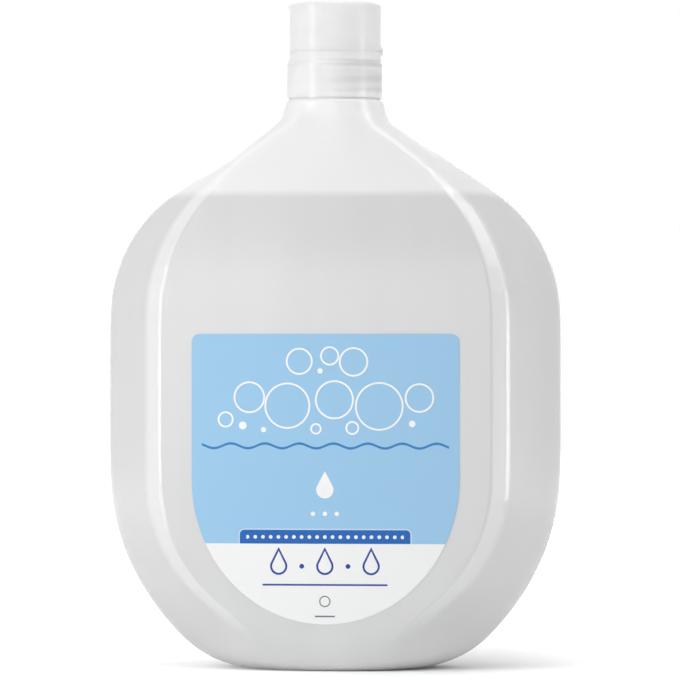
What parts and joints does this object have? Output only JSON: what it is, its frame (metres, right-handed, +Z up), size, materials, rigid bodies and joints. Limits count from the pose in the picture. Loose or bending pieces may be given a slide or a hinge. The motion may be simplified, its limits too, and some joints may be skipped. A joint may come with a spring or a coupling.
{
  "type": "hand soap refill pack",
  "caption": "Flat translucent one-litre refill bottle of gel hand soap with a screw-on flip-top closure and panel labels.",
  "frame": {"origin": "middle of the bounding box at the level of the foot", "axes": "+Z up through the closure; the front label faces -Y; the lid's hinge is on the +X side"},
  "size_m": [0.1544, 0.0586, 0.2246],
  "materials": {
    "bottle_wall": "natural blown polyethylene, milky and translucent, satin",
    "gel": "clear gel seen through the milky wall",
    "front_label_film": "printed plastic film, light blue over white, satin",
    "back_label_film": "printed plastic film, plain white with a light blue band, satin",
    "wad_foam": "closed-cell polyethylene foam",
    "closure_plastic": "natural moulded polypropylene, translucent, semi-gloss"
  },
  "bodies": {
    "filled_bottle": {"bottle": "bottle_wall", "gel_fill": "gel", "front_label": "front_label_film", "back_label": "back_label_film"},
    "wad": {"sealing_wad": "wad_foam"},
    "closure": {"closure_base": "closure_plastic"},
    "lid": {"flip_lid": "closure_plastic"}
  },
  "joints": [
    {"name": "closure_lift", "type": "slide", "parent": "filled_bottle", "child": "wad", "axis": [0, 0, 1], "range_m": [0, 0.00526]},
    {"name": "closure_turn", "type": "hinge", "parent": "wad", "child": "closure", "pos_m": [0, 0, 0.198], "axis": [0, 0, 1], "range_deg": [0, 450]},
    {"name": "lid_hinge", "type": "hinge", "parent": "closure", "child": "lid", "pos_m": [0.017, 0, 0.20766], "axis": [0, 1, 0], "range_deg": [0, 180]}
  ],
  "couplings": [
    {"joint": "closure_lift", "follows": "closure_turn", "m_per_rad": 0.00066845}
  ]
}
